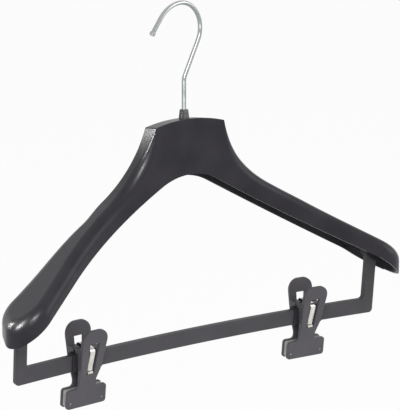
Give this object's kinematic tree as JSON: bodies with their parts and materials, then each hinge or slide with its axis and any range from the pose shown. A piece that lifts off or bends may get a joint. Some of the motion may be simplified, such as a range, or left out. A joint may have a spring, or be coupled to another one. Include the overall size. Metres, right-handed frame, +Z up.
{
  "type": "skirt hanger",
  "caption": "Moulded garment hanger with broad curved shoulders, a swivelling wire hook and a trouser bar that carries sliding sprung clips for skirts.",
  "frame": {"origin": "the top of the hook's inside, where it rests on a rail, on the swivel axis", "axes": "+X along the shoulders to the wearer's left, +Y to the back, +Z up along the hook's stem"},
  "size_m": [0.3904, 0.0699, 0.3156],
  "materials": {
    "plastic": "satin, finely textured",
    "plated_steel": "bright plating",
    "spring_steel": "bright strip",
    "grip_pad": "matt"
  },
  "bodies": {
    "hook": {"hook": "plated_steel", "hook_washer": "plated_steel"},
    "hanger": {"shoulder_shell": "plastic", "hook_collar": "plastic", "trouser_bar": "plastic"},
    "left_clip": {"left_clip_saddle": "plastic", "left_clip_spring": "spring_steel"},
    "left_front_jaw": {"left_front_lever": "plastic", "left_front_pad": "grip_pad"},
    "left_rear_jaw": {"left_rear_lever": "plastic", "left_rear_pad": "grip_pad"},
    "right_clip": {"right_clip_saddle": "plastic", "right_clip_spring": "spring_steel"},
    "right_front_jaw": {"right_front_lever": "plastic", "right_front_pad": "grip_pad"},
    "right_rear_jaw": {"right_rear_lever": "plastic", "right_rear_pad": "grip_pad"}
  },
  "joints": [
    {"name": "hook_swivel", "type": "hinge", "parent": "hook", "child": "hanger", "pos_m": [0, 0, 0], "axis": [0, 0, 1], "continuous": true},
    {"name": "left_clip_slide", "type": "hinge", "parent": "hanger", "child": "left_clip", "pos_m": [0, -1.75596, -0.42851], "axis": [0, -0.0851, 0.9964], "range_deg": [-3.06, 1.24]},
    {"name": "left_front_squeeze", "type": "hinge", "parent": "left_clip", "child": "left_front_jaw", "pos_m": [-0.11418, -0.02465, -0.26419], "axis": [-0.9979, -0.0653, -0.0056], "range_deg": [0, 12], "stiffness_Nm_per_rad": 0.4, "springref_deg": -17.19, "deforming": ["left_clip_spring"]},
    {"name": "left_rear_squeeze", "type": "hinge", "parent": "left_clip", "child": "left_rear_jaw", "pos_m": [-0.11418, -0.02465, -0.26419], "axis": [0.9979, 0.0653, 0.0056], "range_deg": [0, 12], "stiffness_Nm_per_rad": 0.4, "springref_deg": -17.19, "deforming": ["left_clip_spring"]},
    {"name": "right_clip_slide", "type": "hinge", "parent": "hanger", "child": "right_clip", "pos_m": [0, -1.75596, -0.42851], "axis": [0, -0.0851, 0.9964], "range_deg": [-1.3, 3.01]},
    {"name": "right_front_squeeze", "type": "hinge", "parent": "right_clip", "child": "right_front_jaw", "pos_m": [0.11248, -0.02454, -0.26418], "axis": [-0.9979, 0.0643, 0.0055], "range_deg": [0, 12], "stiffness_Nm_per_rad": 0.4, "springref_deg": -17.19, "deforming": ["right_clip_spring"]},
    {"name": "right_rear_squeeze", "type": "hinge", "parent": "right_clip", "child": "right_rear_jaw", "pos_m": [0.11248, -0.02454, -0.26418], "axis": [0.9979, -0.0643, -0.0055], "range_deg": [0, 12], "stiffness_Nm_per_rad": 0.4, "springref_deg": -17.19, "deforming": ["right_clip_spring"]}
  ],
  "couplings": [
    {"joint": "left_rear_squeeze", "follows": "left_front_squeeze", "ratio": 1},
    {"joint": "right_rear_squeeze", "follows": "right_front_squeeze", "ratio": 1}
  ]
}
